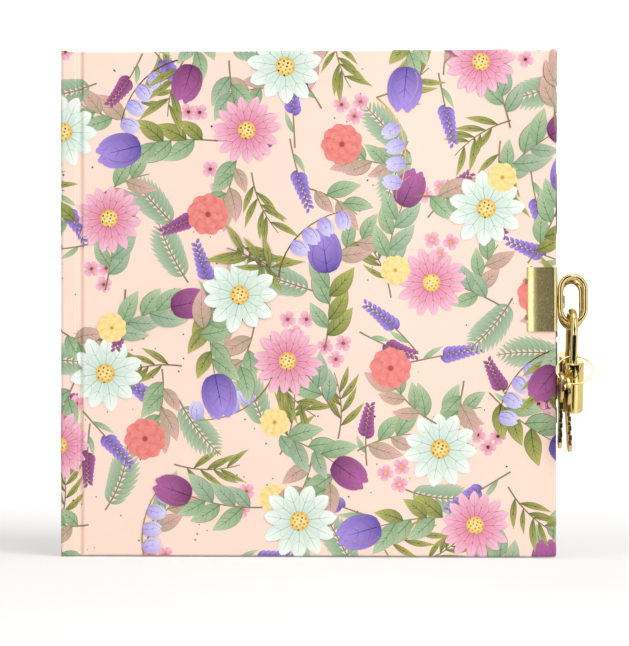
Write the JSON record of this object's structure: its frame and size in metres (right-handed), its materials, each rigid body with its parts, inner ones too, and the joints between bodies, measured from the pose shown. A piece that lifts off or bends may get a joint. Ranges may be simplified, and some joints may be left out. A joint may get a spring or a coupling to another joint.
{
  "type": "diary with lock",
  "caption": "Square hardback diary with a folding case and turning pages, held shut by a small padlock through ring clips on its fore-edges.",
  "frame": {"origin": "middle of the back cover's outer face", "axes": "+X to the fore-edge, +Y out of the back cover, +Z to the head; the closed book stands on its tail with the front cover facing -Y"},
  "size_m": [0.1775, 0.0303, 0.1688],
  "materials": {
    "greyboard": "matt",
    "printed_paper": "silk laminate",
    "endpaper": "matt",
    "pages": "matt",
    "gauze": "open weave",
    "brass": "polished"
  },
  "bodies": {
    "back_cover": {"back_board": "greyboard", "back_cover_paper": "printed_paper", "back_endpaper": "endpaper", "back_flyleaf": "endpaper", "back_clip": "brass", "section_4": "pages", "section_5": "pages", "section_6": "pages", "spine_lining_back": "gauze"},
    "spine": {"spine_board": "greyboard", "spine_paper": "printed_paper", "front_joint_paper": "printed_paper", "back_joint_paper": "printed_paper"},
    "front_cover": {"front_board": "greyboard", "front_cover_paper": "printed_paper", "front_endpaper": "endpaper", "front_clip": "brass"},
    "front_pages": {"section_1": "pages", "section_2": "pages", "section_3": "pages", "front_flyleaf": "endpaper", "spine_lining_front": "gauze"},
    "front_ring": {"front_ring": "brass"},
    "back_ring": {"back_ring": "brass"},
    "shackle": {"shackle": "brass"},
    "padlock": {"padlock_shell_left": "brass", "padlock_shell_right": "brass"},
    "lock_plug": {"lock_plug": "brass"},
    "lock_latch": {"lock_latch": "brass"},
    "key_ring": {"key_ring": "brass"},
    "key_1": {"key_1": "brass"},
    "key_2": {"key_2": "brass"}
  },
  "joints": [
    {"name": "cover_fold", "type": "hinge", "parent": "spine", "child": "front_cover", "pos_m": [-0.0791, -0.00804, 0], "axis": [0, 0, -1], "range_deg": [0, 90], "deforming": ["front_joint_paper"]},
    {"name": "spine_fold", "type": "hinge", "parent": "back_cover", "child": "spine", "pos_m": [-0.0791, -0.0034, 0], "axis": [0, 0, -1], "range_deg": [0, 90], "deforming": ["front_joint_paper", "back_joint_paper"]},
    {"name": "page_turn", "type": "hinge", "parent": "back_cover", "child": "front_pages", "pos_m": [-0.08, -0.00535, 0], "axis": [0, 0, -1], "range_deg": [0, 178.5]},
    {"name": "front_ring_swing", "type": "hinge", "parent": "front_cover", "child": "front_ring", "pos_m": [0.08405, -0.01004, 0.00133], "axis": [0, 0, 1], "range_deg": [-6, 1.5]},
    {"name": "back_ring_swing", "type": "hinge", "parent": "back_cover", "child": "back_ring", "pos_m": [0.08405, -0.0014, -0.00027], "axis": [0, 0, 1], "range_deg": [0, 6]},
    {"name": "padlock_swing", "type": "hinge", "parent": "back_ring", "child": "shackle", "pos_m": [0.08753, -0.00375, -0.00792], "axis": [-0.9903, -0.1392, 0], "range_deg": [-2, 20]},
    {"name": "shackle_release", "type": "slide", "parent": "shackle", "child": "padlock", "axis": [-0.0289, 0.2059, -0.9781], "range_m": [0, 0.0065]},
    {"name": "plug_turn", "type": "hinge", "parent": "padlock", "child": "lock_plug", "pos_m": [0.08777, -0.00646, -0.00897], "axis": [-0.0289, 0.2059, -0.9781], "range_deg": [0, 90.5]},
    {"name": "latch_slide", "type": "slide", "parent": "padlock", "child": "lock_latch", "axis": [-0.1361, 0.9686, 0.2079], "range_m": [0, 0.00121]},
    {"name": "key_ring_swing", "type": "hinge", "parent": "shackle", "child": "key_ring", "pos_m": [0.0887, -0.00924, -0.01751], "axis": [-1, 0, 0], "range_deg": [0, 45]},
    {"name": "key_1_swing", "type": "hinge", "parent": "key_ring", "child": "key_1", "pos_m": [0.08424, -0.01568, -0.02518], "axis": [-0.9902, -0.1392, 0.0138], "range_deg": [-4, 30]},
    {"name": "key_2_swing", "type": "hinge", "parent": "key_ring", "child": "key_2", "pos_m": [0.08598, -0.01653, -0.0262], "axis": [-0.975, -0.2164, -0.0511], "range_deg": [0, 30]}
  ],
  "couplings": [
    {"joint": "spine_fold", "follows": "cover_fold", "ratio": 1},
    {"joint": "page_turn", "follows": "cover_fold", "ratio": 1.98},
    {"joint": "plug_turn", "follows": "shackle_release", "rad_per_m": 241.66},
    {"joint": "latch_slide", "follows": "shackle_release", "ratio": 0.18462}
  ]
}
